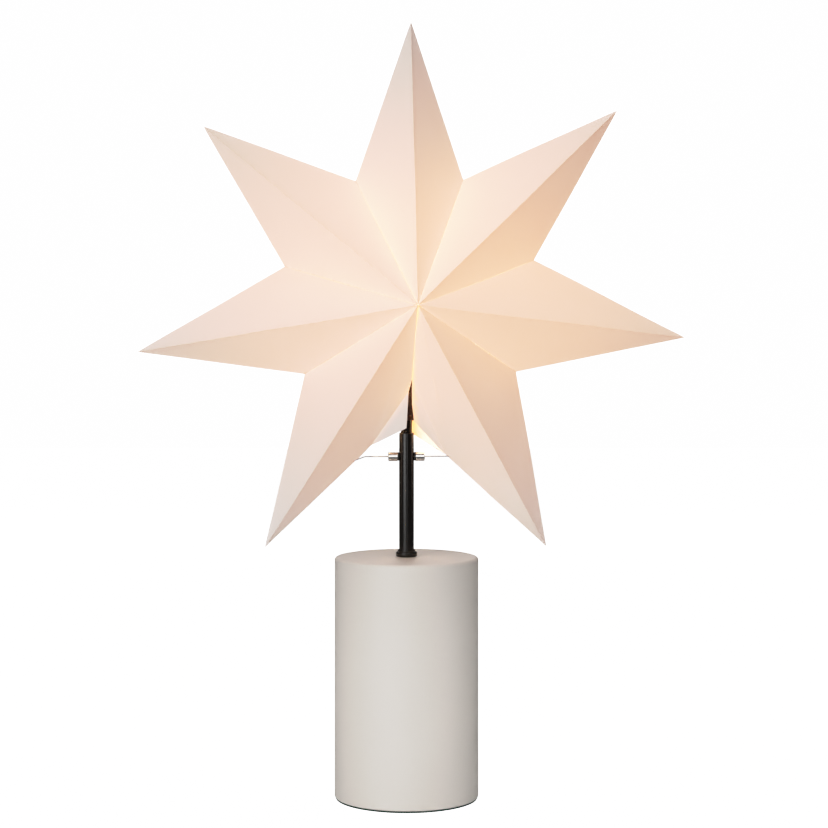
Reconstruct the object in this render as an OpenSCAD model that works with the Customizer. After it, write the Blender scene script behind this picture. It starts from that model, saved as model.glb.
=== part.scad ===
// Table lamp with a folded paper star. A round painted base carries a black tube. A thin wire
// across the tube holds the star, and a small screw lamp stands inside it. Seven folded sheets
// make the star, glued side by side along their valleys and left open at the bottom for the tube.

/* [Base] */
// Diameter of the painted wooden base
base_d = 116; // [100:1:140]
// Height of the wooden base without its pad
base_h = 192.5; // [150:0.5:230]
// Radius of the rounding along the base's top edge
base_edge_r = 2.5; // [1:0.5:5]
// Thickness of the felt pad under the base
pad_t = 1.5; // [1:0.1:3]
// How far the pad stays inside the base's edge
pad_inset = 1; // [0.5:0.5:4]
// Diameter of the hole through the base for the threaded rod
base_bore_d = 10.6; // [10.2:0.1:12]
// Diameter of the pocket for the nut under the base
pocket_d = 40; // [32:1:60]
// Depth of the pocket for the nut
pocket_h = 20; // [16:1:30]

/* [Cable inlet] */
// Diameter of the cable hole at the back of the base
inlet_d = 10; // [9:0.5:12]
// Height of the cable hole over the bottom of the wood
inlet_z = 11; // [8:0.5:14]
// Inner diameter of the grommet in the cable hole
grommet_bore_d = 6.6; // [5.5:0.1:7]
// Diameter of the grommet's rim
grommet_rim_d = 13; // [12.5:0.5:16]
// Thickness of the grommet's rim
grommet_rim_t = 1.5; // [1:0.1:2]
// Length of the grommet inside the hole
grommet_len = 8; // [5:1:12]

/* [Threaded rod] */
// Outer diameter of the threaded rod and of the nipple
rod_d = 9.7; // [9.5:0.1:9.8]
// Bore of the threaded rod and of the nipple
rod_bore_d = 7; // [5:0.5:7.5]
// How far the rod reaches into the tube
rod_reach = 18; // [10:1:30]
// How far the rod stands out of its nut
rod_tail = 3; // [1:0.5:4]
// Diameter of the washer in the pocket
rod_washer_d = 28; // [22:1:31]
// Thickness of the washer in the pocket
rod_washer_t = 2; // [1:0.1:3]
// Size of the nut across its flats
nut_af = 14; // [13:0.5:17]
// Thickness of the nut
nut_t = 4; // [3:0.5:6]

/* [Tube] */
// Outer diameter of the tube
tube_d = 12; // [11.5:0.1:14]
// Bore of the tube
tube_bore_d = 10; // [9.9:0.1:10.4]
// Height of the tube's top end over the base
tube_rise = 100; // [85:1:110]
// Rounding of the tube's top edge
tube_edge_r = 0.8; // [0.3:0.1:0.9]
// Diameter of the bead at the tube's foot
collar_d = 17.2; // [15:0.1:22]
// Height of the bead
collar_h = 5.6; // [4:0.1:8]
// Thickness of the bead's floor under the tube's end
collar_floor = 1.2; // [0.8:0.1:2]

/* [Wire and barrels] */
// Diameter of the wire
wire_d = 1.1; // [0.8:0.1:1.6]
// Height of the wire over the base
wire_rise = 80.8; // [70:0.2:86]
// Half length of the straight middle stretch of the wire
wire_half = 33; // [28:0.5:36]
// Angle at which the wire's ends point down
wire_bend = 20; // [5:1:30]
// Radius of the wire's bends
wire_bend_r = 4; // [3:0.5:8]
// Length of the wire's bent ends
wire_end = 13; // [8:0.5:18]
// Diameter of a barrel
barrel_d = 7.5; // [6:0.1:9]
// Length of a barrel
barrel_len = 7.4; // [6:0.1:10]
// Rounding of a barrel's edges
barrel_edge_r = 0.4; // [0.2:0.1:0.8]
// Diameter of the black ring between barrel and tube
ring_d = 7; // [5:0.1:8]
// Thickness of that ring at its thinnest place
ring_t = 0.8; // [0.5:0.1:1.5]
// Diameter of the grub screw in a barrel
grub_d = 3; // [2:0.1:3.5]

/* [Lamp holder] */
// Height of the bare nipple between tube and holder
nipple_gap = 10; // [6:0.5:14]
// How far the nipple reaches into the tube
nipple_reach = 11; // [8:0.5:13]
// Outer diameter of the lamp holder
holder_d = 27; // [25:0.5:29]
// Diameter of the holder's neck
neck_d = 16; // [14:0.5:20]
// Height of the holder's neck
neck_h = 4; // [2:0.5:6]
// Height of the whole lower cap
cap_h = 18; // [15:0.5:22]
// Wall of the cap and of the shell
holder_wall = 1.8; // [1.2:0.1:2.5]
// Thickness of the insulating insert
insert_h = 9; // [6:0.5:12]
// Wall of the brass screw sleeve
sleeve_wall = 0.5; // [0.4:0.1:0.8]

/* [Bulb] */
// Diameter of the bulb's glass
bulb_d = 45; // [35:1:50]
// Diameter of the bulb's screw cap
bulb_cap_d = 13.9; // [13.5:0.1:14]
// Length of the bulb's screw cap with its tip
bulb_cap_h = 24; // [22:0.5:26]
// Length of the whole bulb
bulb_len = 78; // [70:1:82]
// Diameter of the bulb's body over its screw cap
bulb_neck_d = 20; // [16:1:26]

/* [Star] */
// Distance from the middle of the star to a tip
star_r = 224; // [200:1:240]
// Distance from the middle to the corner between two points
valley_r = 104; // [95:1:112]
// Distance from the middle plane to the front and back apex
star_depth = 65; // [55:1:75]
// Angle between the two lowest points
foot_angle = 59; // [54:0.5:62]
// Thickness of the paper
paper_t = 0.4; // [0.3:0.05:0.6]
// Width of the glue margins inside the star
margin_w = 9; // [6:0.5:10]
// Gap for the glue between two margins
glue_gap = 0.1; // [0.05:0.05:0.3]
// Height of the star's middle over the base
star_rise = 208; // [206:0.5:212]
// Offset of the star's middle to the right
star_side = 2.6; // [0:0.1:4]
// How far the top of the star leans forward, in degrees
star_lean = 4; // [2:0.5:5]
// How far the star and its wire are turned, in degrees
star_turn = 5; // [0:0.5:10]
// How far each tip is turned from its even place, as folded by hand
tip_turn = [0.3, 0.2, 0.7, -0.6, -0.5, 2.3, 2.7]; // [-4:0.1:4]
// How much further or nearer each tip lies than the rest
tip_stretch = [-3, -9, -2, 8, 7, 2, 1]; // [-12:1:12]

/* [Slit at the bottom] */
// Radius down to which the slit is closed in front
front_closed_r = 64; // [56:1:70]
// Depth of the slit's edge there
front_closed_depth = 20.5; // [19:0.5:24]
// Radius down to which the slit is closed at the back
back_closed_r = 40; // [34:1:46]
// Depth of the slit's edge there
back_closed_depth = 37; // [35:0.5:40]
// Left sheet, end of the cut side fold: distance from the slit
left_cut_side = 30; // [22:0.1:34]
// Left sheet, end of the cut side fold: distance below the star's middle
left_cut_drop = 119; // [108:0.1:122]
// Right sheet, end of the cut side fold: distance from the slit
right_cut_side = 30.4; // [24:0.1:34]
// Right sheet, end of the cut side fold: distance below the middle
right_cut_drop = 126.2; // [118:0.1:130]
// Front flaps, end of the crease: depth in front of the middle plane
front_crease_depth = 14.5; // [13:0.5:17]
// Left front flap, end of the crease: distance from the slit
left_crease_side = 1.8; // [1:0.1:6]
// Left front flap, end of the crease: distance below the middle
left_crease_drop = 73.7; // [70:0.1:90]
// Right front flap, end of the crease: distance from the slit
right_crease_side = 1.2; // [1:0.1:4]
// Right front flap, end of the crease: distance below the middle
right_crease_drop = 84; // [74:0.1:92]
// Front flaps, lowest corner: depth in front of the middle plane
front_corner_depth = 9; // [8:0.5:11]
// Left front flap, lowest corner: distance from the slit
left_corner_side = 2.6; // [2:0.1:7]
// Left front flap, lowest corner: distance below the middle
left_corner_drop = 103.5; // [96:0.1:108]
// Right front flap, lowest corner: distance from the slit
right_corner_side = 3.6; // [1:0.1:6]
// Right front flap, lowest corner: distance below the middle
right_corner_drop = 97.7; // [92:0.1:106]
// Back flaps, end of the crease: depth behind the middle plane
back_crease_depth = 21; // [19:0.5:23]
// Back flaps, end of the crease: distance from the slit
back_crease_side = 2.4; // [1:0.1:5]
// Back flaps, end of the crease: distance below the middle
back_crease_drop = 74; // [68:0.5:84]
// Back flaps, lowest corner: depth behind the middle plane
back_corner_depth = 8; // [7:0.5:10]
// Left back flap, lowest corner: distance from the slit
left_back_side = 4.4; // [2:0.1:8]
// Left back flap, lowest corner: distance below the middle
left_back_drop = 106.5; // [102:0.5:114]
// Right back flap, lowest corner: distance from the slit
right_back_side = 2.5; // [2:0.1:8]
// Right back flap, lowest corner: distance below the middle
right_back_drop = 109.5; // [104:0.5:116]
// Clearance of the wire in the paper
wire_hole_gap = 0.3; // [0.2:0.05:0.6]

/* [Hidden] */

$fn = 96;
eps = 0.01;
fit_gap = 0.15;
seat_gap = 0.2;

// Lamp holder and bulb
contact_h = 2;
contact_d = 5;
sleeve_bore_d = bulb_cap_d + 2 * fit_gap;
sleeve_h = bulb_cap_h - 2;
mouth_gap = 1;
mouth_d = bulb_cap_d + 5;
bulb_tip_d = 6;
bulb_tip_h = 2.5;
bulb_seam_angle = 30;

// Heights of the stack, from the table up
wood_z = pad_t;
top_z = wood_z + base_h;
pocket_top_z = wood_z + pocket_h;
nut_z = pocket_top_z - rod_washer_t - nut_t;
tube_z = top_z + collar_floor;
tube_top_z = top_z + tube_rise;
wire_z = top_z + wire_rise;
star_z = top_z + star_rise;
cap_z = tube_top_z + nipple_gap;
shell_z = cap_z + cap_h;
insert_z = shell_z - insert_h / 2;
sleeve_z = insert_z + insert_h;
bulb_z = sleeve_z + contact_h;
shell_h = bulb_z + bulb_cap_h - mouth_gap - shell_z;

// Base details
base_foot_bevel = 0.6;
inlet_world_z = wood_z + inlet_z;

// Star: the middle plane passes through the wire
point_count = 7;
slit_valley = 3;
star_y = -(star_z - wire_z) * tan(star_lean);
apex_gap = 0.35;
hub_r = 6;
tip_step = (360 - foot_angle) / (point_count - 1);

function tip_angle(i) = (i <= slit_valley ? i : i - point_count) * tip_step + tip_turn[i];
function tip_r(i) = star_r + tip_stretch[i];
function next(i) = (i + 1) % point_count;
function before(i) = (i + point_count - 1) % point_count;
// The valley after point i lies half way to the next point, and the slit is one of the valleys
function valley_angle(i) = (tip_angle(i) + tip_angle(next(i))
    + (i == slit_valley ? 360 : 0)) / 2;

// Directions in the star's middle plane: outwards at an angle, and across it
function out(a) = [-sin(a), 0, cos(a)];
function across(a) = [-cos(a), 0, -sin(a)];
// A point of the star: angle, radius, depth, and sideways shift
function at(a, r, y, side = 0) = r * out(a) + [0, y, 0] + side * across(a);
function unit(v) = v / norm(v);

// A valley line runs from the apex to its outer end. Its margin lies inside it, in one plane
function inward(r, y) = unit([-(star_depth - abs(y)), sign(y) * -r]);
function inner_end(r, y) = [r, y] + margin_w * inward(r, y);
function hub_y(r, y) = sign(y) * (star_depth - (star_depth - abs(y)) / r * hub_r
    - margin_w * norm([r, star_depth - abs(y)]) / r);
function hub_at(a, r, y, side) = at(a, hub_r, hub_y(r, y), side);
function end_at(a, r, y, side) = at(a, inner_end(r, y)[0], inner_end(r, y)[1], side);
function fold_r() = valley_r - margin_w * norm([valley_r, star_depth]) / star_depth;

// Outward normal of a facet, and the corner of the inner face under an outer corner
function normal(p, f) = unit(cross(p[f[1]] - p[f[0]], p[f[2]] - p[f[0]]));
function total(list, i = 0) = i == len(list) - 1 ? list[i] : list[i] + total(list, i + 1);
function touching(p, facets, i) = [for (f = facets) if (len(search(i, f)) > 0) normal(p, f)];
function under(p, facets, i) = let (n = touching(p, facets, i), s = total(n))
    p[i] - paper_t * len(n) / (s * s) * s;

// Paper sheet: outer corners, triangles seen from outside, and the loop of its open edge
module sheet(p, facets, rim) {
    m = len(p);
    inner = [for (i = [0 : m - 1]) under(p, facets, i)];
    skin = [for (f = facets) [f[0], f[2], f[1]]];
    lining = [for (f = facets) [f[0] + m, f[1] + m, f[2] + m]];
    edge = [for (i = [0 : len(rim) - 1]) let (a = rim[i], b = rim[(i + 1) % len(rim)])
        each [[b, a + m, a], [b, b + m, a + m]]];
    polyhedron(points = concat(p, inner), faces = concat(skin, lining, edge));
}

// A sheet with both of its sides glued to its neighbours
module whole_point(i) {
    a = tip_angle(i);
    left = valley_angle(i) - (i > slit_valley && valley_angle(i) > a + 180 ? 360 : 0);
    right = valley_angle(before(i)) - (valley_angle(before(i)) > a + 180 ? 360 : 0);
    g = glue_gap / 2;
    d = star_depth;
    p = [at(a, tip_r(i), 0), at(a, apex_gap, -d), at(a, apex_gap, d),
        at(left, valley_r, 0, -g), at(right, valley_r, 0, g),
        hub_at(left, valley_r, -eps, -g), at(left, fold_r(), 0, -g), hub_at(left, valley_r, eps, -g),
        hub_at(right, valley_r, -eps, g), at(right, fold_r(), 0, g), hub_at(right, valley_r, eps, g)];
    facets = [[0, 3, 1], [0, 1, 4], [0, 2, 3], [0, 4, 2],
        [1, 3, 6], [1, 6, 5], [3, 2, 7], [3, 7, 6],
        [4, 1, 8], [4, 8, 9], [2, 4, 9], [2, 9, 10]];
    sheet(p, facets, [1, 8, 9, 10, 2, 7, 6, 5]);
}

// A sheet beside the slit, drawn for the left one. Its side fold is cut open near the tube,
// and the front and back flaps pass the tube on either side. A corner beside the slit is given
// by its distance from the slit, its depth and its distance below the middle
module foot_point(a, r, slit, side_valley, cut, crease, corner, back_corner) {
    g = glue_gap / 2;
    d = star_depth;
    function beside(v) = at(slit, v[2], v[1], -v[0]);
    p = [at(a, r, 0), at(a, apex_gap, -d), at(a, apex_gap, d),
        beside(cut), at(side_valley, valley_r, 0, g),
        hub_at(slit, front_closed_r, -front_closed_depth, -g),
        end_at(slit, front_closed_r, -front_closed_depth, -g),
        at(slit, front_closed_r, -front_closed_depth, -g),
        beside(crease), beside(corner),
        hub_at(slit, back_closed_r, back_closed_depth, -g),
        end_at(slit, back_closed_r, back_closed_depth, -g),
        at(slit, back_closed_r, back_closed_depth, -g),
        beside([back_crease_side, back_crease_depth, back_crease_drop]),
        beside(back_corner),
        hub_at(side_valley, valley_r, -eps, g), at(side_valley, fold_r(), 0, g),
        hub_at(side_valley, valley_r, eps, g)];
    facets = [[0, 3, 1], [3, 7, 1], [3, 8, 7], [3, 9, 8], [0, 1, 4],
        [0, 2, 3], [3, 2, 12], [3, 12, 13], [3, 13, 14], [0, 4, 2],
        [1, 7, 6], [1, 6, 5], [12, 2, 10], [12, 10, 11],
        [4, 1, 15], [4, 15, 16], [2, 4, 16], [2, 16, 17]];
    sheet(p, facets, [1, 15, 16, 17, 2, 10, 11, 12, 13, 14, 3, 9, 8, 7, 6, 5]);
}

module left_foot_point() {
    i = slit_valley;
    foot_point(tip_angle(i), tip_r(i), valley_angle(i), valley_angle(before(i)),
        [left_cut_side, 0, left_cut_drop],
        [left_crease_side, -front_crease_depth, left_crease_drop],
        [left_corner_side, -front_corner_depth, left_corner_drop],
        [left_back_side, back_corner_depth, left_back_drop]);
}

module right_foot_point() {
    i = slit_valley + 1;
    mirror([1, 0, 0])
        foot_point(-tip_angle(i), tip_r(i), 360 - valley_angle(slit_valley), -valley_angle(i),
            [right_cut_side, 0, right_cut_drop],
            [right_crease_side, -front_crease_depth, right_crease_drop],
            [right_corner_side, -front_corner_depth, right_corner_drop],
            [right_back_side, back_corner_depth, right_back_drop]);
}

// The wire, its barrels and the star are turned together
module turned() {
    rotate([0, 0, star_turn]) children();
}

module hung() {
    turned() translate([star_side, star_y, star_z]) rotate([star_lean, 0, 0]) children();
}

// Bent end of the wire at one side, from the bend on, with a chosen thickness
module wire_tail(d, length) {
    translate([wire_half, 0, wire_z - wire_bend_r]) {
        rotate([90, 0, 0]) rotate([0, 0, 90 - wire_bend])
            rotate_extrude(angle = wire_bend) translate([wire_bend_r, 0]) circle(d = d);
        rotate([0, wire_bend, 0]) translate([-eps, 0, wire_bend_r]) rotate([0, 90, 0])
            cylinder(h = length + eps, d = d);
    }
}

module wire_holes() {
    for (side = [0, 1]) turned() mirror([side, 0, 0])
        wire_tail(wire_d + 2 * wire_hole_gap, wire_end + wire_bend_r);
}

module star_sheet(i) {
    color("ivory") difference() {
        hung()
            if (i == slit_valley) left_foot_point();
            else if (i == slit_valley + 1) right_foot_point();
            else whole_point(i);
        if (i == slit_valley || i == slit_valley + 1) wire_holes();
    }
}

module star_wire() {
    color("gainsboro") turned() {
        translate([-wire_half - eps, 0, wire_z]) rotate([0, 90, 0])
            cylinder(h = 2 * (wire_half + eps), d = wire_d);
        for (side = [0, 1]) mirror([side, 0, 0]) wire_tail(wire_d, wire_end);
    }
}

// Places a thing that is drawn along +X from the tube's side
module beside_tube(side) {
    turned() mirror([side, 0, 0]) translate([tube_d / 2 + seat_gap, 0, wire_z]) children();
}

module barrel_bore(length) {
    rotate([0, 90, 0]) translate([0, 0, -eps])
        cylinder(h = length + 2 * eps, d = wire_d + 2 * fit_gap);
}

module rounded_rod(d, length, r) {
    rotate([0, 90, 0]) rotate_extrude() {
        square([d / 2 - r, length]);
        translate([0, r]) square([d / 2, length - 2 * r]);
        for (z = [r, length - r]) translate([d / 2 - r, z]) circle(r = r);
    }
}

module barrel(side) {
    color("silver") beside_tube(side) translate([ring_t + seat_gap, 0, 0]) difference() {
        rounded_rod(barrel_d, barrel_len, barrel_edge_r);
        barrel_bore(barrel_len);
        translate([barrel_len / 2, 0, 0]) rotate([-90, 0, 0])
            cylinder(h = barrel_d, d = grub_d + 2 * fit_gap);
    }
}

module grub_screw(side) {
    color("gray") beside_tube(side)
        translate([ring_t + seat_gap + barrel_len / 2, 0, 0]) rotate([-90, 0, 0])
        translate([0, 0, wire_d / 2 + fit_gap]) difference() {
            cylinder(h = (barrel_d - wire_d) / 2 - 2 * fit_gap, d = grub_d);
            translate([-grub_d, -grub_d / 12, (barrel_d - wire_d) / 2 - 2 * fit_gap - 0.8])
                cube([2 * grub_d, grub_d / 6, 1]);
        }
}

module ring(side) {
    color("black") beside_tube(side) difference() {
        rotate([0, 90, 0]) cylinder(h = ring_t, d = ring_d);
        barrel_bore(ring_t);
    }
}

module base_body() {
    color("gainsboro") difference() {
        translate([0, 0, wood_z]) rotate_extrude($fn = 180) {
            translate([0, base_foot_bevel]) square([base_d / 2, base_h - base_foot_bevel - base_edge_r]);
            square([base_d / 2 - base_edge_r, base_h]);
            polygon([[base_d / 2 - base_edge_r, 0], [base_d / 2 - base_foot_bevel, 0],
                [base_d / 2, base_foot_bevel], [base_d / 2 - base_edge_r, base_foot_bevel]]);
            translate([base_d / 2 - base_edge_r, base_h - base_edge_r]) circle(r = base_edge_r);
        }
        translate([0, 0, wood_z - eps]) cylinder(h = base_h + 2 * eps, d = base_bore_d);
        translate([0, 0, wood_z - eps]) cylinder(h = pocket_h + eps, d = pocket_d);
        translate([0, 0, inlet_world_z]) rotate([-90, 0, 0]) cylinder(h = base_d, d = inlet_d);
    }
}

module felt_pad() {
    color("darkslategray") cylinder(h = pad_t, r = base_d / 2 - pad_inset);
}

module cable_grommet() {
    back_y = base_d / 2 - sagitta(grommet_rim_d);
    color("black") translate([0, back_y, inlet_world_z]) rotate([-90, 0, 0]) difference() {
        union() {
            translate([0, 0, -grommet_len]) cylinder(h = grommet_len, d = inlet_d - 2 * fit_gap);
            translate([0, 0, sagitta(grommet_rim_d) + seat_gap])
                cylinder(h = grommet_rim_t, d = grommet_rim_d);
            cylinder(h = sagitta(grommet_rim_d) + seat_gap + eps, d = inlet_d - 2 * fit_gap);
        }
        translate([0, 0, -grommet_len - eps])
            cylinder(h = base_d, d = grommet_bore_d);
    }
}

// How far the round base falls back behind a flat of a given width
function sagitta(w) = base_d / 2 - sqrt(pow(base_d / 2, 2) - pow(w / 2, 2));

module base_rod() {
    color("silver") translate([0, 0, nut_z - rod_tail]) difference() {
        cylinder(h = tube_z + rod_reach - nut_z + rod_tail, d = rod_d);
        translate([0, 0, -eps])
            cylinder(h = tube_z + rod_reach - nut_z + rod_tail + 2 * eps, d = rod_bore_d);
    }
}

module base_washer() {
    color("silver") translate([0, 0, pocket_top_z - rod_washer_t]) difference() {
        cylinder(h = rod_washer_t, d = rod_washer_d);
        translate([0, 0, -eps]) cylinder(h = rod_washer_t + 2 * eps, d = rod_d + 2 * fit_gap);
    }
}

module base_nut() {
    color("goldenrod") translate([0, 0, nut_z]) difference() {
        cylinder(h = nut_t, d = nut_af / cos(30), $fn = 6);
        translate([0, 0, -eps]) cylinder(h = nut_t + 2 * eps, d = rod_d + fit_gap);
    }
}

module tube_collar() {
    color("black") translate([0, 0, top_z]) difference() {
        rotate_extrude() {
            square([collar_d / 2 - collar_h / 4, collar_h]);
            translate([collar_d / 2 - collar_h / 4, collar_h / 4]) circle(r = collar_h / 4);
            translate([collar_d / 2 - collar_h / 4, collar_h / 2]) circle(r = collar_h / 4);
            translate([0, collar_h / 4]) square([collar_d / 2, collar_h / 4]);
        }
        translate([0, 0, -eps]) cylinder(h = collar_h + 2 * eps, d = rod_d + 2 * fit_gap);
        translate([0, 0, collar_floor]) cylinder(h = collar_h, d = tube_d + 2 * fit_gap);
    }
}

module tube() {
    color("black") difference() {
        translate([0, 0, tube_z]) rotate_extrude() {
            translate([tube_bore_d / 2, 0])
                square([(tube_d - tube_bore_d) / 2, tube_top_z - tube_z - tube_edge_r]);
            intersection() {
                translate([tube_d / 2 - tube_edge_r, tube_top_z - tube_z - tube_edge_r])
                    circle(r = tube_edge_r);
                translate([tube_bore_d / 2, 0]) square([tube_d, tube_rise]);
            }
            translate([tube_bore_d / 2, 0])
                square([(tube_d - tube_bore_d) / 2 - tube_edge_r, tube_top_z - tube_z]);
        }
        turned() translate([-tube_d, 0, wire_z]) rotate([0, 90, 0])
            cylinder(h = 2 * tube_d, d = wire_d + 2 * fit_gap);
    }
}

module top_nipple() {
    bottom_z = tube_top_z - nipple_reach;
    length = nipple_reach + nipple_gap + cap_bore_h();
    color("black") translate([0, 0, bottom_z]) difference() {
        cylinder(h = length, d = rod_d);
        translate([0, 0, -eps]) cylinder(h = length + 2 * eps, d = rod_bore_d);
    }
}

// Height of the threaded collar inside the holder's cap
function cap_bore_h() = neck_h + holder_wall;

module holder_cap() {
    color("black") translate([0, 0, cap_z]) difference() {
        rotate_extrude() polygon([[0, 0], [neck_d / 2, 0], [neck_d / 2, neck_h],
            [holder_d / 2, cap_h / 2 + neck_h / 2], [holder_d / 2, cap_h], [0, cap_h]]);
        rotate_extrude() polygon([[0, cap_bore_h()], [neck_d / 2 - holder_wall / 2, cap_bore_h()],
            [holder_d / 2 - holder_wall, cap_h / 2 + neck_h / 2 + holder_wall / 2],
            [holder_d / 2 - holder_wall, cap_h + eps], [0, cap_h + eps]]);
        translate([0, 0, -eps]) cylinder(h = cap_h, d = rod_d + fit_gap);
    }
}

module holder_shell() {
    color("black") translate([0, 0, shell_z]) difference() {
        cylinder(h = shell_h, d = holder_d);
        translate([0, 0, -eps]) cylinder(h = shell_h - holder_wall + eps, d = holder_d - 2 * holder_wall);
        cylinder(h = shell_h + eps, d = mouth_d);
    }
}

module holder_insert() {
    bore_h = insert_h + 2 * eps;
    color("white") translate([0, 0, insert_z]) difference() {
        cylinder(h = insert_h, d = holder_d - 2 * holder_wall - 2 * fit_gap);
        translate([0, 0, -eps]) cylinder(h = bore_h, d = 3);
    }
}

module screw_sleeve() {
    color("gold") translate([0, 0, sleeve_z]) difference() {
        cylinder(h = sleeve_h, d = sleeve_bore_d + 2 * sleeve_wall);
        translate([0, 0, -eps]) cylinder(h = sleeve_h + 2 * eps, d = sleeve_bore_d);
    }
}

module centre_contact() {
    color("gold") translate([0, 0, sleeve_z]) cylinder(h = contact_h, d = contact_d);
}

module bulb() {
    globe_z = bulb_len - bulb_d / 2;
    seam = [bulb_d / 2 * cos(bulb_seam_angle), globe_z - bulb_d / 2 * sin(bulb_seam_angle)];
    color("white") translate([0, 0, bulb_z]) rotate_extrude() {
        square([bulb_tip_d / 2, bulb_tip_h + eps]);
        translate([0, bulb_tip_h]) square([bulb_cap_d / 2, bulb_cap_h - bulb_tip_h]);
        polygon([[0, bulb_cap_h - eps], [bulb_neck_d / 2, bulb_cap_h - eps],
            [bulb_neck_d / 2, bulb_cap_h + 2], seam, [0, seam[1]]]);
        intersection() {
            translate([0, globe_z]) circle(d = bulb_d);
            translate([0, seam[1] - eps]) square(bulb_d);
        }
    }
}

base_body();
felt_pad();
cable_grommet();
base_rod();
base_washer();
base_nut();
tube_collar();
tube();
star_wire();
barrel(1);  // left_barrel
barrel(0);  // right_barrel
ring(1);  // left_washer
ring(0);  // right_washer
grub_screw(1);  // left_grub_screw
grub_screw(0);  // right_grub_screw
top_nipple();
holder_cap();
holder_shell();
holder_insert();
screw_sleeve();
centre_contact();
bulb();
star_sheet(0);  // star_point_1
star_sheet(1);  // star_point_2
star_sheet(2);  // star_point_3
star_sheet(3);  // star_point_4
star_sheet(4);  // star_point_5
star_sheet(5);  // star_point_6
star_sheet(6);  // star_point_7
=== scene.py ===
# %% [markdown]
# # A folded paper star on a table lamp
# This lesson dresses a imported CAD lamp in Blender. The lamp is a painted wooden base, a black
# tube, and a star folded from seven sheets of paper that glows from the small bulb inside it.
# The CAD model says where each piece is, so nothing is moved here. We give each piece its
# finish, and rebuild the pieces whose surface is too fine for CAD: the paper, the threads and
# the bulb.

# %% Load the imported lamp
import math

import bmesh
import bpy
from mathutils import Matrix, Vector, noise


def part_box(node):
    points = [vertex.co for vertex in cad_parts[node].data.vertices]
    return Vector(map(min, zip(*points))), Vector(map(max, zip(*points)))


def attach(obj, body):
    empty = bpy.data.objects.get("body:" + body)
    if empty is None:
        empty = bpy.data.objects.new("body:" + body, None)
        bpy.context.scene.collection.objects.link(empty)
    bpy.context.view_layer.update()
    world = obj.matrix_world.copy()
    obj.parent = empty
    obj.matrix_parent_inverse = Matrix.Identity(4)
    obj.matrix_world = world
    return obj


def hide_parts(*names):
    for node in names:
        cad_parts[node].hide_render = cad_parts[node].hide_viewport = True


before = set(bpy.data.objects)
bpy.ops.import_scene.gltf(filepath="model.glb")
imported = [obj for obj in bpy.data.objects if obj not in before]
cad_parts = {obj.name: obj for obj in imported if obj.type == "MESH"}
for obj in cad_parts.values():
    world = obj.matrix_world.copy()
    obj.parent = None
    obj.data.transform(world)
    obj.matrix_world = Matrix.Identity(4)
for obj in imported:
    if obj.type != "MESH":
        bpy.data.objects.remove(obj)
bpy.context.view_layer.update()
BODY = "root"
MM = 0.001

# %% [markdown]
# ## The camera
# The photograph was taken from straight in front with a long lens, level with the star. We
# could tilt the camera down to fit the base in, but then upright edges would lean. A level
# camera with a small vertical shift keeps them upright, as they are in the photograph.

# %% Place the camera
FRAME_PX = 828
AXIS_COLUMN = 406.5
EYE_ROW = 290
EYE_HEIGHT = 0.409
EYE_DISTANCE = 1.82
VIEW_WIDTH = 0.668
SENSOR_WIDTH_MM = 36

camera_data = bpy.data.cameras.new("photo_camera")
camera_data.sensor_width = SENSOR_WIDTH_MM
camera_data.lens = SENSOR_WIDTH_MM * EYE_DISTANCE / VIEW_WIDTH
camera_data.shift_x = 0.5 - AXIS_COLUMN / FRAME_PX
camera_data.shift_y = EYE_ROW / FRAME_PX - 0.5
camera = bpy.data.objects.new("photo_camera", camera_data)
camera.location = (0, -EYE_DISTANCE, EYE_HEIGHT)
camera.rotation_euler = (math.radians(90), 0, 0)
bpy.context.collection.objects.link(camera)
bpy.context.scene.camera = camera
print("lens in mm:", round(camera_data.lens, 1))

# %% [markdown]
# ## The studio
# The photograph has a pure white surround, and soft light from the front left, from low in
# front and from above. A floor that only reflects light would look grey, and one that shines
# on everything would wash out the folds. So the floor and the world look bright to the camera,
# and send only a little light back to the lamp. Two small boxes with a grid, which narrows
# their beam, light only the wooden base from its sides. These two and the low box in front are
# hidden from reflections. A tall white card is there only to be seen in the polished barrels,
# and a narrow strip only draws the bright line down the black tube.

# %% Node helpers
def add_node(tree, kind, inputs=None, **settings):
    """Adds a node, sets its properties, and fills or links its inputs by name or number."""
    node = tree.nodes.new(kind)
    for name, value in settings.items():
        setattr(node, name, value)
    for name, value in (inputs or {}).items():
        if isinstance(value, bpy.types.NodeSocket):
            tree.links.new(value, node.inputs[name])
        else:
            node.inputs[name].default_value = value
    return node


def grey(value):
    """A neutral colour from black at 0 to white at 1."""
    return (value, value, value, 1)


print("node helpers:", add_node.__name__, grey.__name__)

# %% The world seen and the world that lights
SEEN_WHITE = 2.2
ROOM_LIGHT = 0.03

world = bpy.data.worlds.new("studio")
bpy.context.scene.world = world
world.use_nodes = True
sky = world.node_tree
sky.nodes.clear()
ray = add_node(sky, "ShaderNodeLightPath")
room = add_node(sky, "ShaderNodeBackground", {"Color": (0.97, 0.98, 1, 1), "Strength": ROOM_LIGHT})
white = add_node(sky, "ShaderNodeBackground", {"Color": grey(1), "Strength": SEEN_WHITE})
pick = add_node(sky, "ShaderNodeMixShader",
                {0: ray.outputs["Is Camera Ray"], 1: room.outputs[0], 2: white.outputs[0]})
add_node(sky, "ShaderNodeOutputWorld", {"Surface": pick.outputs[0]})
print("world:", ROOM_LIGHT, "to the lamp,", SEEN_WHITE, "to the camera")

# %% The floor
FLOOR_HALF = 4
FLOOR_GLOW = 1.6
FLOOR_PALE = 0.8
FLOOR_TO_LAMP = 0.35

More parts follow.
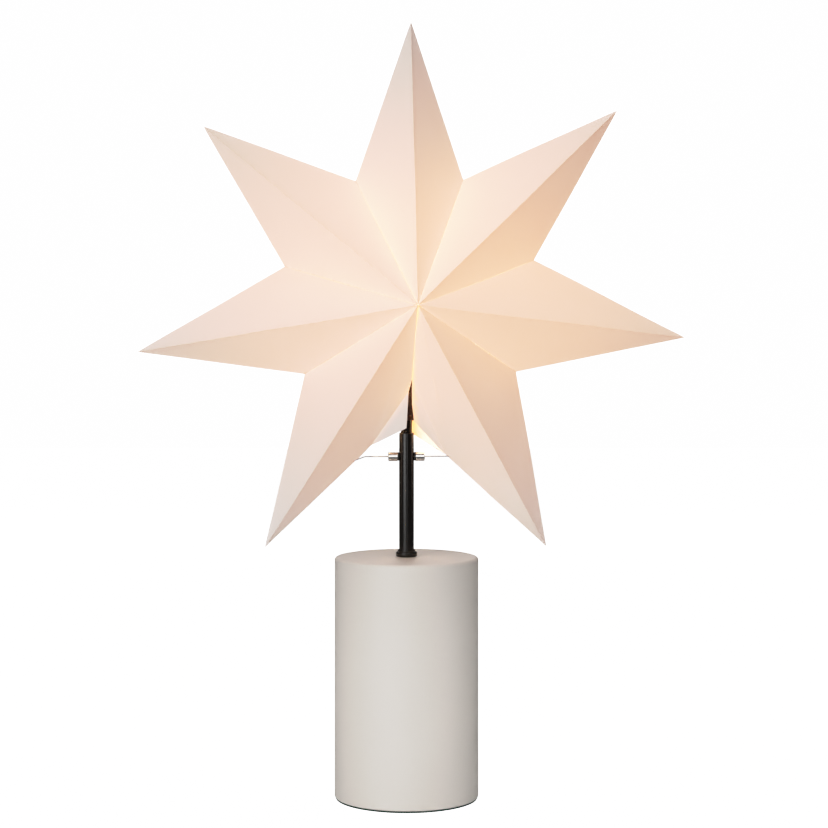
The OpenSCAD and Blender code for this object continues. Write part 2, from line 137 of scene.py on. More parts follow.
floor_mesh = bpy.data.meshes.new("floor")
floor_mesh.from_pydata([(x * FLOOR_HALF, y * FLOOR_HALF, 0) for x, y in
                        ((-1, -1), (1, -1), (1, 1), (-1, 1))], [], [(0, 1, 2, 3)])
floor = bpy.data.objects.new("floor", floor_mesh)
bpy.context.collection.objects.link(floor)
floor_paint = bpy.data.materials.new("pale_floor")
floor_paint.use_nodes = True
tree = floor_paint.node_tree
tree.nodes.clear()
ray = add_node(tree, "ShaderNodeLightPath")
dull = add_node(tree, "ShaderNodeBsdfDiffuse", {"Color": grey(FLOOR_TO_LAMP)})
shine = add_node(tree, "ShaderNodeEmission", {"Color": grey(1), "Strength": FLOOR_GLOW})
pale = add_node(tree, "ShaderNodeBsdfDiffuse", {"Color": grey(FLOOR_PALE)})
bright = add_node(tree, "ShaderNodeAddShader", {0: shine.outputs[0], 1: pale.outputs[0]})
pick = add_node(tree, "ShaderNodeMixShader",
                {0: ray.outputs["Is Camera Ray"], 1: dull.outputs[0], 2: bright.outputs[0]})
add_node(tree, "ShaderNodeOutputMaterial", {"Surface": pick.outputs[0]})
floor_mesh.materials.append(floor_paint)
print("floor is", 2 * FLOOR_HALF, "m wide")


# %% Soft boxes
LAMP_AIM = 0.35
BASE_AIM = 0.07
NO_GRID = 180
GRID = 32


def soft_box(name, azimuth, elevation, distance, size, power, aim_height=LAMP_AIM, beam=NO_GRID):
    """An area lamp that looks at a height on the lamp's axis. Azimuth 0 is the camera's side,
    and positive angles are to its right. The power is in watts."""
    a, e = math.radians(azimuth), math.radians(elevation)
    aim = Vector((0, 0, aim_height))
    place = aim + distance * Vector((math.sin(a) * math.cos(e), -math.cos(a) * math.cos(e),
                                     math.sin(e)))
    light = bpy.data.lights.new(name, "AREA")
    light.shape = "RECTANGLE"
    light.size, light.size_y = size
    light.energy = power
    light.spread = math.radians(beam)
    lamp = bpy.data.objects.new(name, light)
    lamp.location = place
    lamp.rotation_euler = (aim - place).to_track_quat("-Z", "Y").to_euler()
    lamp.visible_camera = False
    bpy.context.collection.objects.link(lamp)
    return lamp


soft_box("front_left_box", -36, 8, 2.2, (0.7, 1.2), 15)
low_front = soft_box("low_front_box", 0, -7, 2.2, (1.0, 0.3), 17.5)
soft_box("high_right_box", 35, 50, 2.2, (0.9, 0.9), 5.8)
soft_box("overhead_box", 0, 80, 2.0, (1.2, 1.2), 4.3)
soft_box("back_box", 180, 30, 2.0, (1.2, 0.8), 11.6)
base_left = soft_box("base_left_box", -78, 0, 0.9, (0.4, 0.16), 0.10, BASE_AIM, GRID)
base_right = soft_box("base_right_box", 50, 0, 0.9, (0.4, 0.16), 0.10, BASE_AIM, GRID)
for box in (low_front, base_left, base_right):
    box.visible_glossy = False
card = soft_box("white_card", 10, 11, 1.6, (0.35, 1.1), 2.2)
strip = soft_box("narrow_strip", -20, 5, 2.2, (0.5, 1.4), 10)
for box in (card, strip):
    box.visible_diffuse = False

# %% [markdown]
# ## How the picture is developed
# A camera rolls its brightest tones off softly, so lit paper stays cream instead of turning
# flat white. A tone curve over the plain colour transform does the same here.

# %% The tone curve
TONES = ((0, 0), (0.55, 0.55), (0.65, 0.65), (0.82, 0.756), (1.05, 0.888), (1.5, 0.985), (2, 1))

view = bpy.context.scene.view_settings
view.view_transform = "Standard"
view.use_curve_mapping = True
curve_map = view.curve_mapping
curve_map.clip_max_x = TONES[-1][0]
curve_map.use_clip = True
combined = curve_map.curves[3]
combined.points[0].location = TONES[0]
combined.points[1].location = TONES[-1]
for tone in TONES[1:-1]:
    combined.points.new(*tone)
curve_map.update()
print("tone curve with", len(combined.points), "points")


# %% [markdown]
# ## Shared effects
# Real surfaces are never one flat value. Two effects come back on almost every piece: a slow
# and fine unevenness of colour and gloss, and lines left by turning. Each is a node group with
# its own inputs, so that every material sets its own amounts.

# %% Helpers for node groups
def new_group(name, inputs, outputs):
    """An empty shader node group with named sockets. Inputs are name: (kind, default)."""
    group = bpy.data.node_groups.new(name, "ShaderNodeTree")
    for socket, (kind, default) in inputs.items():
        made = group.interface.new_socket(socket, in_out="INPUT", socket_type="NodeSocket" + kind)
        made.default_value = default
    for socket, kind in outputs.items():
        group.interface.new_socket(socket, in_out="OUTPUT", socket_type="NodeSocket" + kind)
    return group, group.nodes.new("NodeGroupInput"), group.nodes.new("NodeGroupOutput")


def calc(tree, operation, *values):
    """One step of arithmetic. Each value is a number or a socket."""
    return add_node(tree, "ShaderNodeMath", dict(enumerate(values)), operation=operation).outputs[0]


def vector_calc(tree, operation, *values, out=0):
    """One step with vectors. Output 0 is a vector, and output 1 a number such as a length."""
    return add_node(tree, "ShaderNodeVectorMath", dict(enumerate(values)),
                    operation=operation).outputs[out]


print("group helpers:", new_group.__name__, calc.__name__, vector_calc.__name__)

# %% Uneven finish
uneven, take, give = new_group(
    "uneven finish",
    {"Colour": ("Color", grey(0.8)), "Colour spread": ("Float", 0.05),
     "Roughness": ("Float", 0.5), "Roughness spread": ("Float", 0.05),
     "Patch size": ("Float", 0.02), "Grain size": ("Float", 0.001)},
    {"Colour": "Color", "Roughness": "Float", "Grain": "Float"})
place = add_node(uneven, "ShaderNodeTexCoord").outputs["Object"]
patches = add_node(uneven, "ShaderNodeTexNoise", {
    "Vector": place, "Scale": calc(uneven, "DIVIDE", 1, take.outputs["Patch size"]), "Detail": 3})
grains = add_node(uneven, "ShaderNodeTexNoise", {
    "Vector": place, "Scale": calc(uneven, "DIVIDE", 1, take.outputs["Grain size"]), "Detail": 2})
both = calc(uneven, "ADD", patches.outputs[0], grains.outputs[0])
swing = calc(uneven, "SUBTRACT", both, 1)
shade = calc(uneven, "MULTIPLY_ADD", swing, take.outputs["Colour spread"], 1)
tint = vector_calc(uneven, "SCALE", take.outputs["Colour"])
uneven.links.new(shade, tint.node.inputs["Scale"])
rough = calc(uneven, "MULTIPLY_ADD", swing, take.outputs["Roughness spread"],
             take.outputs["Roughness"])
uneven.links.new(tint, give.inputs["Colour"])
uneven.links.new(rough, give.inputs["Roughness"])
uneven.links.new(grains.outputs[0], give.inputs["Grain"])
print("node group:", uneven.name)

# %% Turning lines
turned, take, give = new_group(
    "turning lines",
    {"Axis": ("Vector", (0, 0, 1)), "Pitch": ("Float", 0.0002)},
    {"Lines": "Float"})
place = add_node(turned, "ShaderNodeTexCoord").outputs["Object"]
along = vector_calc(turned, "DOT_PRODUCT", place, take.outputs["Axis"], out=1)
pitches = calc(turned, "DIVIDE", along, take.outputs["Pitch"])
lines = add_node(turned, "ShaderNodeTexNoise", {"W": pitches, "Scale": 1, "Detail": 2},
                 noise_dimensions="1D")
turned.links.new(lines.outputs[0], give.inputs["Lines"])
print("node group:", turned.name)


# %% [markdown]
# ## From a finish to a piece
# Three small jobs come back for each part of the lamp. One mixes a finish from a colour, a
# roughness and the amounts of unevenness. One turns a new mesh into a piece that rides on the
# lamp and stands for its CAD nodes. One gives CAD pieces that are fine as they are a material.

# %% Helpers for materials and pieces
def finish(name, colour, roughness, spread=(0.05, 0.05), patch=0.02, grain=0.001, bump=0.00002,
           **shader):
    """A Principled material whose colour and gloss run through the uneven finish. Sizes are in
    metres, and the spreads are those of colour and roughness."""
    material = bpy.data.materials.new(name)
    material.use_nodes = True
    tree = material.node_tree
    tree.nodes.clear()
    surface = add_node(tree, "ShaderNodeGroup", node_tree=uneven)
    for socket, value in (("Colour", (*colour, 1)), ("Colour spread", spread[0]),
                          ("Roughness", roughness), ("Roughness spread", spread[1]),
                          ("Patch size", patch), ("Grain size", grain)):
        surface.inputs[socket].default_value = value
    relief = add_node(tree, "ShaderNodeBump", {
        "Strength": 1, "Distance": bump, "Height": surface.outputs["Grain"]})
    body = add_node(tree, "ShaderNodeBsdfPrincipled", {
        "Base Color": surface.outputs["Colour"], "Roughness": surface.outputs["Roughness"],
        "Normal": relief.outputs[0]})
    for socket, value in shader.items():
        body.inputs[socket.replace("_", " ")].default_value = value
    add_node(tree, "ShaderNodeOutputMaterial", {"Surface": body.outputs[0]})
    return material, tree, body, relief


def add_piece(name, mesh, material, slot, *nodes):
    """A finished mesh as a piece that rides on the lamp and stands for CAD nodes."""
    mesh.materials.clear()
    mesh.materials.append(material)
    piece = bpy.data.objects.new(name, mesh)
    bpy.context.collection.objects.link(piece)
    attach(piece, BODY)
    if nodes:
        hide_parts(*nodes)
    return piece


def dress(material, *nodes):
    """Gives CAD pieces a material. Their meshes stay as they are."""
    for name in nodes:
        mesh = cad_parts[name].data
        mesh.materials.clear()
        mesh.materials.append(material)


print("piece helpers:", finish.__name__, add_piece.__name__, dress.__name__)

# %% [markdown]
# ## The painted base
# The base is a turned block of wood under several coats of warm grey-white paint. Close up such
# paint has a fine orange peel from the roller, and the wood's long fibres still show through it
# as faint upright ridges. Both are bumps of a few hundredths of a millimetre.

# %% Painted wood
FIBRE_WIDTH = 0.0016
FIBRE_LENGTH = 0.06
FIBRE_DEPTH = 0.00004

wood_paint, tree, body, relief = finish("painted_wood", (0.845, 0.79, 0.73), 0.5, (0.03, 0.08),
                                        patch=0.06, grain=0.0011, bump=0.00003)
place = add_node(tree, "ShaderNodeTexCoord").outputs["Object"]
stretched = vector_calc(tree, "MULTIPLY", place, (1 / FIBRE_WIDTH, 1 / FIBRE_WIDTH, 1 / FIBRE_LENGTH))
fibres = add_node(tree, "ShaderNodeTexNoise", {"Vector": stretched, "Scale": 1, "Detail": 3})
ridges = add_node(tree, "ShaderNodeBump", {"Strength": 1, "Distance": FIBRE_DEPTH,
                                           "Height": fibres.outputs[0], "Normal": relief.outputs[0]})
tree.links.new(ridges.outputs[0], body.inputs["Normal"])
dress(wood_paint, "base_body")
print("painted:", wood_paint.name)

# %% [markdown]
# ## Felt, rubber and plastic
# The pad under the base is dark green-grey felt. The rings beside the tube and the cable
# grommet are black rubber, and the lamp holder is moulded black plastic, which differs mainly in
# gloss. The holder's colour is painted a very dark brown, a painted warm tint for the bulb's
# light on black plastic. The insulator inside the holder is unglazed ceramic.

# %% Soft and moulded parts
felt, *_ = finish("felt", (0.035, 0.06, 0.05), 0.95, (0.6, 0.02), patch=0.004, grain=0.0004,
                  bump=0.0002)
rubber, *_ = finish("black_rubber", (0.022, 0.021, 0.02), 0.55, (0.2, 0.1), patch=0.003,
                    grain=0.0003)
# The holder's dark brown is painted warm light on black plastic, not the plastic's own colour.
plastic, *_ = finish("black_plastic", (0.024, 0.009, 0.005), 0.42, (0.15, 0.1), patch=0.008,
                     grain=0.0004, bump=0.00001, Specular_IOR_Level=0.25)
insulator, *_ = finish("insulator", (0.78, 0.76, 0.71), 0.75, (0.08, 0.05), patch=0.004,
                       grain=0.0004)
dress(felt, "felt_pad")
dress(rubber, "cable_grommet", "left_washer", "right_washer")
dress(insulator, "holder_insert")
print("soft and moulded finishes:", felt.name, rubber.name, plastic.name, insulator.name)

# %% [markdown]
# ## The black tube
# The tube is steel with a gloss black lacquer. Black lacquer is seen almost only by what it
# reflects, so its gloss matters more than its colour.

# %% Black enamel
enamel, *_ = finish("black_enamel", (0.006, 0.005, 0.0045), 0.2, (0.2, 0.08), patch=0.01,
                    grain=0.0012, bump=0.000002, Specular_IOR_Level=0.4)
dress(enamel, "tube", "tube_collar")
print("lacquered:", enamel.name)


# %% [markdown]
# ## Turned and plated metal
# The barrels are bright nickel, the wire and screws are zinc, and the holder's sleeve is brass.
# A lathe leaves rings across the axis, so the lines run round the barrels' axis or the lamp's own.

# %% Metals
LINE_DEPTH = 0.000004
STAR_TURN = math.radians(5)
LAMP_AXIS = (0, 0, 1)
WIRE_AXIS = (math.cos(STAR_TURN), math.sin(STAR_TURN), 0)


def metal(name, colour, roughness, axis, pitch):
    """A bare metal with fine lines from the lathe, pitch metres apart, round the axis."""
    material, tree, body, relief = finish(name, colour, roughness, (0.12, 0.12), patch=0.004,
                                          grain=0.0005, bump=0.000003, Metallic=1)
    lines = add_node(tree, "ShaderNodeGroup", node_tree=turned)
    lines.inputs["Axis"].default_value = axis
    lines.inputs["Pitch"].default_value = pitch
    rings = add_node(tree, "ShaderNodeBump", {
        "Strength": 1, "Distance": LINE_DEPTH, "Height": lines.outputs[0],
        "Normal": relief.outputs[0]})
    tree.links.new(rings.outputs[0], body.inputs["Normal"])
    return material


nickel = metal("bright_nickel", (0.78, 0.765, 0.745), 0.12, WIRE_AXIS, 0.0002)
zinc = metal("zinc_steel", (0.62, 0.62, 0.63), 0.3, LAMP_AXIS, 0.0003)
brass = metal("brass", (0.86, 0.60, 0.24), 0.25, LAMP_AXIS, 0.0002)
dress(nickel, "left_barrel", "right_barrel")
dress(zinc, "star_wire", "left_grub_screw", "right_grub_screw", "base_rod", "base_washer")
dress(brass, "base_nut", "screw_sleeve", "centre_contact")
print("metals:", nickel.name, zinc.name, brass.name)

# %% [markdown]
# ## The glow of the lamp
# The star glows because its paper lets the bulb's light through. Blender can trace that, but
# slowly, and another program that opens the model would lose it. So we paint the glow into the
# paper's own light. It is strongest beside the bulb, fades towards the tips, and is a little
# stronger above the bulb than below it, where the lamp holder stands in the way.

# %% Lamp glow group
LEAST_GLOW = 0.03
EVEN_SLANT = 0.5

bulb_low, bulb_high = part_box("bulb")
GLOBE_R = (bulb_high.x - bulb_low.x) / 2
GLOBE = Vector((0, 0, bulb_high.z - GLOBE_R))

glow, take, give = new_group(
    "lamp glow",
    {"Near": ("Float", 0.8), "Fade per metre": ("Float", 2.5), "Upward": ("Float", 0.1),
     "Rightward": ("Float", 0.05), "Square on": ("Float", 0.1)},
    {"Glow": "Float"})
geometry = add_node(glow, "ShaderNodeNewGeometry")
ray = vector_calc(glow, "SUBTRACT", geometry.outputs["Position"], tuple(GLOBE))
far = vector_calc(glow, "LENGTH", ray, out=1)
heading = vector_calc(glow, "NORMALIZE", ray)
facing = vector_calc(glow, "DOT_PRODUCT", heading, geometry.outputs["True Normal"], out=1)
way = add_node(glow, "ShaderNodeSeparateXYZ", {0: heading})
total = calc(glow, "MULTIPLY_ADD", far, calc(glow, "MULTIPLY", take.outputs["Fade per metre"], -1),
             take.outputs["Near"])
total = calc(glow, "MULTIPLY_ADD", way.outputs["Z"], take.outputs["Upward"], total)
total = calc(glow, "MULTIPLY_ADD", way.outputs["X"], take.outputs["Rightward"], total)
slanted = calc(glow, "SUBTRACT", calc(glow, "ABSOLUTE", facing), EVEN_SLANT)
total = calc(glow, "MULTIPLY_ADD", slanted, take.outputs["Square on"], total)
glow.links.new(calc(glow, "MAXIMUM", total, LEAST_GLOW), give.inputs["Glow"])
print("glow is measured from", tuple(round(v, 4) for v in GLOBE))

# %% [markdown]
# ## The star's paper
# The paper is plain matte white card. With the bulb behind it, its fibres show as faint clouds,
# a few millimetres across, so they dim and brighten the glow and not the card's own colour.
# Light that leaks past a flap or a loose seam lands on the outside of the card, and is more
# yellow than light that comes through it. Both are painted into the paper's own light, and the
# leak also takes some blue out of the card's base colour as a painted yellow tint. Each sheet
# brings two numbers for every corner of its mesh, its share of the glow and the leak, and they
# are worked out where the sheets are folded.

# %% The star's paper
GLOW_TINT = (1, 0.42, 0.15)
LEAK_TINT = (0.45, 0.14, 0)
LEAK_YELLOW = 0.15
CLOUD_SIZE = 0.004
CLOUD_SPREAD = 0.06

paper, tree, body, _ = finish("star_paper", (0.85, 0.85, 0.85), 0.85, (0.025, 0.05), patch=0.02,
                              grain=0.0008, bump=0.00002, Specular_IOR_Level=0.3,
                              Emission_Strength=1)
light = add_node(tree, "ShaderNodeGroup", node_tree=glow)
for socket, value in (("Near", 0.84), ("Fade per metre", 2.8), ("Upward", 0.13),
                      ("Rightward", 0.05), ("Square on", -0.15)):
    light.inputs[socket].default_value = value
place = add_node(tree, "ShaderNodeTexCoord").outputs["Object"]
clouds = add_node(tree, "ShaderNodeTexNoise", {"Vector": place, "Scale": 1 / CLOUD_SIZE, "Detail": 4})
cloudy = calc(tree, "MULTIPLY_ADD", clouds.outputs[0], CLOUD_SPREAD, 1 - CLOUD_SPREAD / 2)
share = add_node(tree, "ShaderNodeAttribute", attribute_name="glow_share").outputs["Fac"]
amount = calc(tree, "MULTIPLY", calc(tree, "MULTIPLY", light.outputs["Glow"], cloudy), share)
tint = add_node(tree, "ShaderNodeVectorMath", {0: GLOW_TINT, "Scale": amount}, operation="SCALE")
leak = add_node(tree, "ShaderNodeAttribute", attribute_name="leak").outputs["Fac"]
leaking = add_node(tree, "ShaderNodeVectorMath", {0: LEAK_TINT, "Scale": leak}, operation="SCALE")
lit = vector_calc(tree, "ADD", tint.outputs[0], leaking.outputs[0])
tree.links.new(lit, body.inputs["Emission Color"])
# Where the leak falls, blue is taken out of the base colour: painted leak light as a yellow tint.
painted_leak_yellow = add_node(tree, "ShaderNodeVectorMath", {0: (0, 0, LEAK_YELLOW), "Scale": leak},
                    operation="SCALE")
plain = body.inputs["Base Color"].links[0].from_socket
tree.links.new(vector_calc(tree, "SUBTRACT", plain, painted_leak_yellow.outputs[0]), body.inputs["Base Color"])
print("paper:", paper.name)

# %% [markdown]
# ## The folded sheets
# The CAD sheets have perfect planes and knife-sharp folds. Folded card has a pinched crest
# along each fold, about a quarter of a millimetre proud, and is never quite flat between folds.
# We copy each CAD sheet, run a narrow strip along every edge, raise the fold lines, and let
# the whole sheet sway by half a millimetre. The sway depends only on the place in space, so
# neighbouring sheets move together and stay glued. It fades out near the tube and the wire, and
# its noise starts from a fixed seed, so that every run bends the paper in the same way.

# %% How the folded card bends
STRIP = 0.9 * MM
ROOM_FOR_STRIP = 2.5 * STRIP
PINCH = 0.26 * MM
LONGEST_EDGE = 13 * MM
MOST_SPLITS = 6
SWAY = 0.6 * MM
SWAY_WAVE = 75 * MM
SWAY_SEED = 7
STILL_NEAR = 15 * MM
FREE_FROM = 60 * MM
MERGE = 0.002 * MM
RIM_EDGE = 0.8 * MM
RIM_WIDTH = RIM_EDGE / 1.5
FOLD_ANGLE = math.radians(12)
MARGIN_COSINE = 0.05
STAR_LEAN = math.radians(4)
STAR_MIDDLE = Vector((3.365, -8.634, 402)) * MM
STAR_TILT = Matrix.Rotation(STAR_TURN, 3, "Z") @ Matrix.Rotation(STAR_LEAN, 3, "X")
STAR_AXIS = STAR_TILT @ Vector((0, 1, 0))
APEX_REACH = 1.5 * MM
APEX_PULL = 0.75

_, wire_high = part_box("star_wire")
WIRE_REACH = 2 * wire_high.x

noise.seed_set(SWAY_SEED)


def sway(p):
    """How far the paper at p leans from its perfect place."""
    from_tube = math.hypot(p.x, p.y)
    from_wire = math.hypot(p.y, p.z - wire_high.z) if abs(p.x) < WIRE_REACH else FREE_FROM
    free = (min(from_tube, from_wire) - STILL_NEAR) / (FREE_FROM - STILL_NEAR)
    return noise.noise_vector(p / SWAY_WAVE) * SWAY * min(1, max(0, free))


def is_margin(face):
    """A glue margin runs straight back into the star, so its normal is square to the axis."""
    return abs(face.normal.dot(STAR_AXIS)) < MARGIN_COSINE


def is_rim(face):
    """A rim is the cut edge of the card, a ribbon about as wide as the card is thick."""
    lengths = [edge.calc_length() for edge in face.edges]
    return min(lengths) < RIM_EDGE and face.calc_area() / max(lengths) < RIM_WIDTH


def is_crest(edge):
    """A crest is a fold between two outer faces. A fold where a margin turns inwards isn't one."""
    return (edge.smooth and len(edge.link_faces) == 2 and edge.calc_face_angle(0) > FOLD_ANGLE
            and not any(is_margin(face) for face in edge.link_faces))


def close_apex(p):
    """Pulls the corners that meet at the front and back apex together."""
    offset = p - STAR_MIDDLE
    radial = offset - offset.dot(STAR_AXIS) * STAR_AXIS
    return radial * -APEX_PULL if radial.length < APEX_REACH else Vector()


print("crest height in mm:", PINCH / MM, "and sway:", SWAY / MM)

# %% [markdown]
# ## Light at the slit
# The two lowest sheets aren't glued to each other, so that the tube can pass between them. This
# gives the photograph its finest marks. A warm line of light runs down the loose front seam,
# the back flap right of the tube is bright yellow, the left front flap bends away from the bulb
# and looks grey, and the lamp holder leaves a soft shade. A few other tips are a little lighter
# or darker than the rest. One even glow can't show this, so we measure each corner of the paper
# from the slit, in millimetres, and turn the distances into a share of the glow and a leak.

# %% Light at the slit
LEFT_OF_SLIT, RIGHT_OF_SLIT = 4, 5
SLIT_SLOPE = 0.0096
SEAM_LEFT, SEAM_RIGHT, SEAM_SPREAD = -0.3, 1.3, 3.4
SPREAD_DROPS = (64, 98)
APEX_LEAK, APEX_DROPS = 0.8, (16, 6)
SEAM_BEGINS, SEAM_ENDS = (30, 60), (104, 96)
BACK_LEAK, BACK_DROPS, BACK_SIDES = 2.2, (84, 96), (7, 4)
FLAP_SHARE, CREASE_SOFTNESS = 0.45, 3
CREASE_START, CREASE_END = (1.8, 73.7), (30, 119)
TIP_SHARE, TIP_REACH = {1: -0.5, 3: 0.25, 6: 0.35}, (70, 215)
LOW_SHADE, LOW_DROPS = 0.08, (60, 110)
HOLDER_SHADE, HOLDER_DROPS, HOLDER_SIDES = 0.25, (80, 112), (50, 15)


def ramp(value, start, end):
    """0 before the start, 1 after the end, and even in between. The end may be the lower one."""
    return min(1, max(0, (value - start) / (end - start)))


def beside_slit(p):
    """A point as seen from the slit, in mm: to its right, behind the middle plane, and down."""
    side, depth, rise = STAR_TILT.transposed() @ (p - STAR_MIDDLE) / MM
    return side - SLIT_SLOPE * rise, depth, -rise


def leak_at(p):
    """How much light leaks through the slit's loose front seam and past its back flap."""
    side, depth, drop = beside_slit(p)
    if depth > 0:
        return BACK_LEAK * ramp(drop, *BACK_DROPS) * ramp(side, *BACK_SIDES)
    right = SEAM_RIGHT + SEAM_SPREAD * ramp(drop, *SPREAD_DROPS)
    near_apex = APEX_LEAK * ramp(drop, *APEX_DROPS)
    along_seam = ramp(drop, *SEAM_BEGINS) * ramp(drop, *SEAM_ENDS)
    return (near_apex + along_seam) * (SEAM_LEFT < side < right)


def flap_share(p):
    """The left front flap bends away from the bulb, so less light comes through it."""
    side, depth, drop = beside_slit(p)
    (side_0, drop_0), (side_1, drop_1) = CREASE_START, CREASE_END
    along = (-side - side_0) / (side_1 - side_0)
    below = drop - drop_0 - along * (drop_1 - drop_0)
    return 1 - (1 - FLAP_SHARE) * ramp(below, 0, CREASE_SOFTNESS) * (depth < 0)


def light_share(p, number):
    """The share of the bulb's light that reaches a place and comes through the paper there."""
    side, _, drop = beside_slit(p)
    share = 1 + TIP_SHARE.get(number, 0) * ramp(math.hypot(side, drop), *TIP_REACH)
    if number in (LEFT_OF_SLIT, RIGHT_OF_SLIT):
        under_holder = ramp(drop, *HOLDER_DROPS) * ramp(abs(side), *HOLDER_SIDES)
        share -= LOW_SHADE * ramp(drop, *LOW_DROPS) + HOLDER_SHADE * under_holder
    return share * (flap_share(p) if number == LEFT_OF_SLIT else 1)


print("sheets beside the slit:", LEFT_OF_SLIT, "and", RIGHT_OF_SLIT)


# %% Fold the seven sheets
def folded_sheet(number):
    """The sheet of one point: strips along its folds, raised crests, and a slight sway."""
    node = f"star_point_{number}"
    bm = bmesh.new()
    bm.from_mesh(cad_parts[node].data)
    bmesh.ops.remove_doubles(bm, verts=bm.verts, dist=MERGE)
    wide = [f for f in bm.faces if 2 * f.calc_area() / f.calc_perimeter() > ROOM_FOR_STRIP]
    bmesh.ops.inset_individual(bm, faces=wide, thickness=STRIP, use_even_offset=True)
    for face in bm.faces:
        face.smooth = True
    for face in filter(is_rim, bm.faces[:]):
        for edge in face.edges:
            edge.smooth = False
    for _ in range(MOST_SPLITS):
        long = [e for e in bm.edges if e.calc_length() > LONGEST_EDGE]
        if not long:
            break
        bmesh.ops.subdivide_edges(bm, edges=long, cuts=1, use_grid_fill=True)
    bmesh.ops.triangulate(bm, faces=bm.faces)
    bm.normal_update()
    share = bm.verts.layers.float.new("glow_share")
    leak = bm.verts.layers.float.new("leak")
    for vert in bm.verts:
        vert[share] = light_share(vert.co, number)
        vert[leak] = leak_at(vert.co) if number == RIGHT_OF_SLIT else 0
    raised = {}
    for edge in filter(is_crest, bm.edges[:]):
        edge.smooth = False
        for vert in edge.verts:
            raised[vert] = vert.normal * PINCH * (1 if edge.is_convex else -1)
    for vert, step in raised.items():
        vert.co += step
    for vert in bm.verts:
        vert.co += sway(vert.co) + close_apex(vert.co)
    mesh = bpy.data.meshes.new(f"paper_{number}")
    bm.to_mesh(mesh)
    bm.free()
    return add_piece(f"folded_paper_{number}", mesh, paper, "star_paper", node)


sheets = [folded_sheet(number) for number in range(1, 8)]
print("paper triangles:", [len(s.data.polygons) for s in sheets])

# %% [markdown]
# ## Turned and threaded parts
# The holder, the nipple and the bulb are all round, so each is a profile spun about the lamp's
# axis. A screw thread needs one more idea: its ridge climbs one pitch for each full turn. So
# the radius at a point depends on its height less its share of a turn, which makes a true
# helix and not a stack of rings.

# %% Spin a profile
AROUND = 2 * math.pi
ROUND_STEPS = 4
SHARP_ANGLE = math.radians(40)


def soften(points, size):
    """Rounds every inner corner of an open profile, each point being (radius, height)."""
    points = [Vector(p) for p in points]
    out = [points[0]]
    for before, corner, after in zip(points, points[1:], points[2:]):
        reach = min(size, (before - corner).length / 2, (after - corner).length / 2)
        start = corner + (before - corner).normalized() * reach
        end = corner + (after - corner).normalized() * reach
        for i in range(ROUND_STEPS + 1):
            t = i / ROUND_STEPS
            out.append(start.lerp(corner, t).lerp(corner.lerp(end, t), t))
    return out + [points[-1]]


def spin(name, profile, sides, shape=None, closed=False):
    """A mesh from a profile in mm. The shape may change the radius at (radius, height, angle),
    and a closed profile joins its last point to its first."""
    bm = bmesh.new()
    rows = []
    for r, z in profile:
        if r == 0:
            rows.append([bm.verts.new((0, 0, z * MM))])
            continue
        row = []
        for i in range(sides):
            angle = AROUND * i / sides
            radius = (shape(r, z, angle) if shape else r) * MM
            row.append(bm.verts.new((radius * math.cos(angle), radius * math.sin(angle), z * MM)))
        rows.append(row)
    for low, high in zip(rows, rows[1:] + rows[:1] if closed else rows[1:]):
        for i in range(sides):
            j = (i + 1) % sides
            ring = [low[i % len(low)], low[j % len(low)], high[j % len(high)], high[i % len(high)]]
            bm.faces.new(list(dict.fromkeys(ring)))
    bmesh.ops.recalc_face_normals(bm, faces=bm.faces)
    for face in bm.faces:
        face.smooth = True
    mesh = bpy.data.meshes.new(name)
    bm.to_mesh(mesh)
    bm.free()
    mesh.set_sharp_from_angle(angle=SHARP_ANGLE)
    return mesh


def steps(low, high, size):
    """Heights from low to high, about one size apart."""
    count = max(1, round((high - low) / size))
    return [low + (high - low) * i / count for i in range(count + 1)]


def thread(pitch, depth, low, high):
    """A shape that cuts a rounded thread and fades out over half a pitch at each end."""
    def cut(r, z, angle):
        fade = min(1, max(0, min(z - low, high - z) / (pitch / 2)))
        wave = 0.5 - 0.5 * math.cos(AROUND * z / pitch - angle)
        return r - depth * fade * wave
    return cut


print("round parts:", soften.__name__, spin.__name__, thread.__name__)

# %% [markdown]
# ## The nipple
# A short threaded pipe, called a nipple, joins the tube to the lamp holder. It is the dark stem
# above the tube, seen in the slit. Its outside is cut by the helix, and its bore stays smooth.

# %% The nipple
NIPPLE_PITCH = 1
NIPPLE_DEPTH = 0.5
NIPPLE_BORE_R = 3.5

low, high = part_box("top_nipple")
nipple_r, foot, top = high.x / MM, low.z / MM, high.z / MM
cut = thread(NIPPLE_PITCH, NIPPLE_DEPTH, foot, top)
profile = ([(nipple_r, z) for z in steps(foot, top, NIPPLE_PITCH / 6)]
           + [(NIPPLE_BORE_R, top), (NIPPLE_BORE_R, foot)])
mesh = spin("nipple", profile, 48, lambda r, z, a: cut(r, z, a) if r > NIPPLE_BORE_R else r, closed=True)
add_piece("threaded_nipple", mesh, enamel, "black_enamel", "top_nipple")
print("nipple turns:", round((top - foot) / NIPPLE_PITCH, 1))

# %% [markdown]
# ## The lamp holder
# The holder is moulded in two halves that screw together. Its lower half, the cap, narrows to
# the neck that takes the nipple. Its upper half, the shell, has ribs to grip. Moulded edges are
# never sharp, so each profile is softened before it is spun.

# %% The holder's cap
WALL = 1.8
NECK_R = 8
NECK_H = 4
NECK_WALL = 2.9
LIP_H = 1.2
LIP_STEP = 0.35
CAP_EDGE_R = 0.7

